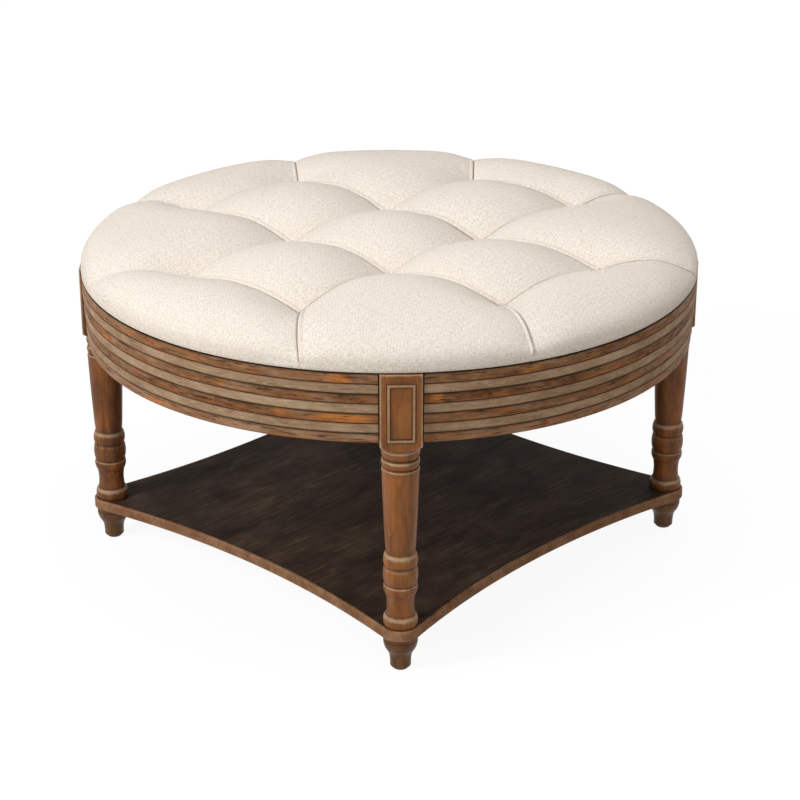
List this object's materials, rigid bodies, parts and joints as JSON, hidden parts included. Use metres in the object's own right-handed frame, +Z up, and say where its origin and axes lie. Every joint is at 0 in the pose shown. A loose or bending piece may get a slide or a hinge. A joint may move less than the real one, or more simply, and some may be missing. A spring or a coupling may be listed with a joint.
{
  "type": "ottoman coffee table",
  "caption": "Round ottoman coffee table with a tufted upholstered top, stripped wood apron, turned legs and a lower shelf with hollow sides.",
  "frame": {"origin": "centre of the floor under the table, level with the undersides of the glides", "axes": "+Z up; the legs stand on the X and Y axes, front leg on -Y, right leg on +X"},
  "size_m": [0.9238, 0.9238, 0.518],
  "materials": {
    "linen": "natural oatmeal linen weave, matte",
    "plywood": "unfinished plywood",
    "cambric": "black non-woven cloth",
    "twine": "waxed cotton twine",
    "bent_plywood": "bent laminated wood, stained brown",
    "brown_strip": "streaked brown stain, rubbed edges, satin",
    "grey_strip": "weathered grey-brown wash, rubbed edges, matte",
    "leg_wood": "medium brown stain with rubbed pale edges, satin",
    "espresso_wood": "dark espresso stain with fine worn grain, satin",
    "hardwood": "unfinished hardwood",
    "zinc_steel": "zinc plated",
    "glide_plastic": "moulded dark plastic"
  },
  "bodies": {
    "root": {"tufted_cushion": "linen", "seat_board": "plywood", "dust_cover": "cambric", "tuft_twines": "twine", "tuft_washers": "zinc_steel", "apron_core_front_right": "bent_plywood", "brown_strips_front_right": "brown_strip", "grey_strips_front_right": "grey_strip", "cleat_front_right": "hardwood", "apron_core_back_right": "bent_plywood", "brown_strips_back_right": "brown_strip", "grey_strips_back_right": "grey_strip", "cleat_back_right": "hardwood", "apron_core_back_left": "bent_plywood", "brown_strips_back_left": "brown_strip", "grey_strips_back_left": "grey_strip", "cleat_back_left": "hardwood", "apron_core_front_left": "bent_plywood", "brown_strips_front_left": "brown_strip", "grey_strips_front_left": "grey_strip", "cleat_front_left": "hardwood", "leg_front": "leg_wood", "foot_front": "leg_wood", "corner_brace_front": "hardwood", "leg_right": "leg_wood", "foot_right": "leg_wood", "corner_brace_right": "hardwood", "leg_back": "leg_wood", "foot_back": "leg_wood", "corner_brace_back": "hardwood", "leg_left": "leg_wood", "foot_left": "leg_wood", "corner_brace_left": "hardwood", "shelf": "espresso_wood", "apron_dowels": "hardwood", "leg_studs": "zinc_steel", "leg_bolts": "zinc_steel", "bolt_washers": "zinc_steel", "bolt_nuts": "zinc_steel", "frame_screws": "zinc_steel", "seat_screws": "zinc_steel", "foot_glides": "glide_plastic"}
  },
  "joints": []
}
